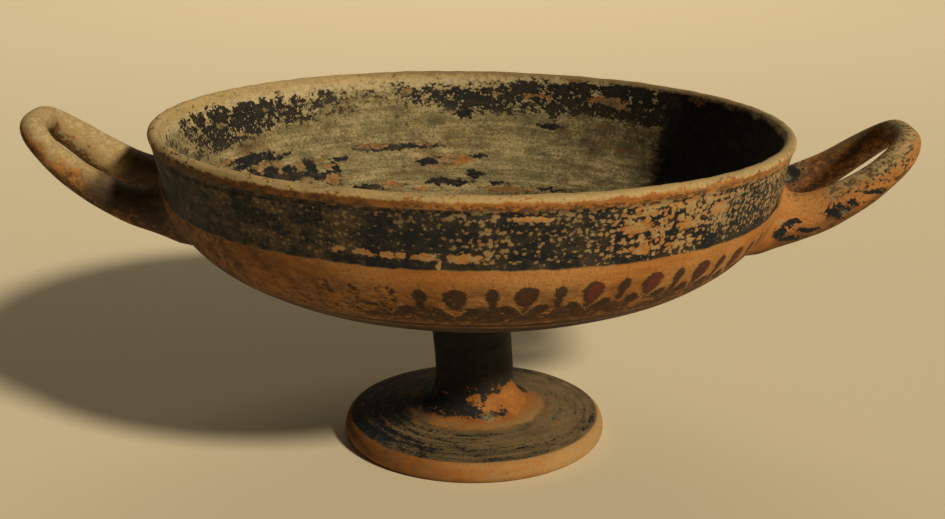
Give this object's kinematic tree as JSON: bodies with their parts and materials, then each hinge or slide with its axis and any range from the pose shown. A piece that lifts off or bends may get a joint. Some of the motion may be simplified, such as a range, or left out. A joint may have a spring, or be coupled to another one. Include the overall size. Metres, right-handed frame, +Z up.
{
  "type": "kylix cup",
  "caption": "Shallow stemmed drinking cup of fired clay with two upswept loop handles, a low flared foot and a worn black and orange painted finish",
  "frame": {"origin": "middle of the cup's outer box at the level it stands on; the foot's axis is 1.2 mm from it towards +X", "axes": "+Z up, +X through the right handle as seen from the front, +Y towards the back, away from the viewer"},
  "size_m": [0.2485, 0.173, 0.0957],
  "materials": {
    "painted_clay": "black slip worn through to orange clay, satin, with pale deposit inside"
  },
  "bodies": {
    "root": {"kylix": "painted_clay"}
  },
  "joints": []
}
